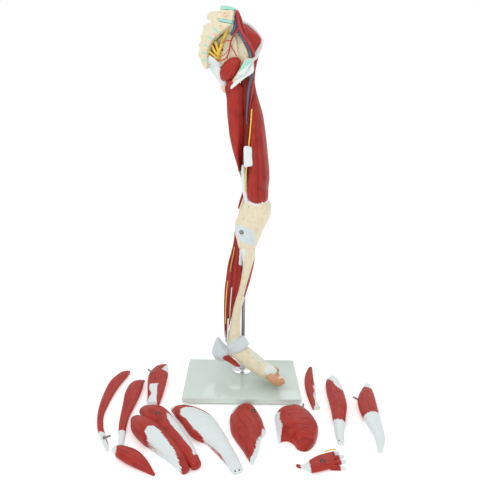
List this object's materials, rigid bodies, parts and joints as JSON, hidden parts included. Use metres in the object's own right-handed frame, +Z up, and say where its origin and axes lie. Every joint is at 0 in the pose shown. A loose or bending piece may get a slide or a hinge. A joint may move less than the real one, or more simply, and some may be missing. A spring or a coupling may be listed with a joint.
{
  "type": "leg muscle model on stand",
  "caption": "Life-size left leg muscle model with a half pelvis, on a rod and base plate, with its removable muscles laid out around it.",
  "frame": {"origin": "centre of the underside of the pad that the base stands on", "axes": "+X to the right along the plate's length, +Y to its rear edge, +Z up along the support rod"},
  "size_m": [0.8181, 0.5624, 1.1016],
  "materials": {
    "base_plate": "pale green-grey, glossy moulded plate",
    "chrome": "polished",
    "steel": "turned, satin",
    "rubber": "matte black",
    "muscle_red": "hand-painted satin red with fine fibre grooves",
    "tendon_white": "hand-painted satin cool white",
    "bone_cream": "hand-painted satin cream",
    "cartilage_teal": "hand-painted satin pale teal",
    "nerve_yellow": "hand-painted satin yellow",
    "artery_red": "hand-painted satin deep red",
    "vein_blue": "hand-painted satin slate blue",
    "toe_skin": "hand-painted satin skin colour"
  },
  "bodies": {
    "stand": {"base_plate": "base_plate", "base_pad": "rubber", "base_flange": "chrome", "rod_collar": "chrome", "support_rod": "chrome", "rod_nut": "steel", "rod_washer": "steel"},
    "bush": {"rod_bush": "steel"},
    "leg": {"lumbar_vertebra": "bone_cream", "lumbar_disc": "cartilage_teal", "lumbosacral_disc": "cartilage_teal", "sacrum": "bone_cream", "hip_bone": "bone_cream", "pubic_disc": "cartilage_teal", "sacral_ligament": "tendon_white", "obturator_muscle": "muscle_red", "iliacus_muscle": "muscle_red", "gluteus_minimus": "muscle_red", "inguinal_ligament": "tendon_white", "iliac_artery": "artery_red", "iliac_vein": "vein_blue", "sacral_plexus": "nerve_yellow", "femur": "bone_cream", "quadriceps_muscle": "muscle_red", "adductor_muscle": "muscle_red", "vastus_lateralis": "muscle_red", "hamstring_bed": "muscle_red", "femoral_artery": "artery_red", "femoral_vein": "vein_blue", "saphenous_nerve": "nerve_yellow", "knee_capsule": "bone_cream", "knee_membrane": "tendon_white", "knee_socket": "steel", "tibia": "bone_cream", "fibula": "bone_cream", "calf_flexors": "muscle_red", "tibialis_muscle": "muscle_red", "ankle_band": "tendon_white", "heel": "tendon_white", "foot": "bone_cream", "big_toe": "toe_skin", "canal_membrane": "tendon_white", "abductor_hallucis": "muscle_red"},
    "sartorius_piece": {"sartorius": "muscle_red", "sartorius_pin": "steel"},
    "gracilis_piece": {"gracilis": "muscle_red"},
    "tensor_fasciae_latae_piece": {"tensor_fasciae_latae": "muscle_red", "tensor_pin": "steel"},
    "gastrocnemius_piece": {"gastrocnemius": "muscle_red"},
    "soleus_piece": {"soleus": "muscle_red"},
    "adductor_longus_piece": {"adductor_longus": "muscle_red"},
    "gluteus_medius_piece": {"gluteus_medius": "muscle_red"},
    "gluteus_maximus_piece": {"gluteus_maximus": "muscle_red", "gluteus_pin": "steel"},
    "extensor_digitorum_piece": {"extensor_digitorum": "muscle_red"},
    "biceps_femoris_piece": {"biceps_femoris": "muscle_red"},
    "semitendinosus_piece": {"semitendinosus": "muscle_red", "semitendinosus_pin": "steel"},
    "short_toe_flexor_piece": {"short_toe_flexor": "muscle_red"}
  },
  "joints": [
    {"name": "leg_turn", "type": "hinge", "parent": "stand", "child": "bush", "pos_m": [0.003, 0.056, 0], "axis": [0, 0, 1], "continuous": true},
    {"name": "leg_lift", "type": "slide", "parent": "bush", "child": "leg", "axis": [0, 0, 1], "range_m": [0, 0.2]},
    {"name": "sartorius_lift", "type": "slide", "parent": "stand", "child": "sartorius_piece", "axis": [0, 0, 1], "range_m": [0, 0.15]},
    {"name": "gracilis_lift", "type": "slide", "parent": "stand", "child": "gracilis_piece", "axis": [0, 0, 1], "range_m": [0, 0.15]},
    {"name": "tensor_fasciae_latae_lift", "type": "slide", "parent": "stand", "child": "tensor_fasciae_latae_piece", "axis": [0, 0, 1], "range_m": [0, 0.15]},
    {"name": "gastrocnemius_lift", "type": "slide", "parent": "stand", "child": "gastrocnemius_piece", "axis": [0, 0, 1], "range_m": [0, 0.15]},
    {"name": "soleus_lift", "type": "slide", "parent": "stand", "child": "soleus_piece", "axis": [0, 0, 1], "range_m": [0, 0.15]},
    {"name": "adductor_longus_lift", "type": "slide", "parent": "stand", "child": "adductor_longus_piece", "axis": [0, 0, 1], "range_m": [0, 0.15]},
    {"name": "gluteus_medius_lift", "type": "slide", "parent": "stand", "child": "gluteus_medius_piece", "axis": [0, 0, 1], "range_m": [0, 0.15]},
    {"name": "gluteus_maximus_lift", "type": "slide", "parent": "stand", "child": "gluteus_maximus_piece", "axis": [0, 0, 1], "range_m": [0, 0.15]},
    {"name": "extensor_digitorum_lift", "type": "slide", "parent": "stand", "child": "extensor_digitorum_piece", "axis": [0, 0, 1], "range_m": [0, 0.15]},
    {"name": "biceps_femoris_lift", "type": "slide", "parent": "stand", "child": "biceps_femoris_piece", "axis": [0, 0, 1], "range_m": [0, 0.15]},
    {"name": "semitendinosus_lift", "type": "slide", "parent": "stand", "child": "semitendinosus_piece", "axis": [0, 0, 1], "range_m": [0, 0.15]},
    {"name": "short_toe_flexor_lift", "type": "slide", "parent": "stand", "child": "short_toe_flexor_piece", "axis": [0, 0, 1], "range_m": [0, 0.15]}
  ]
}
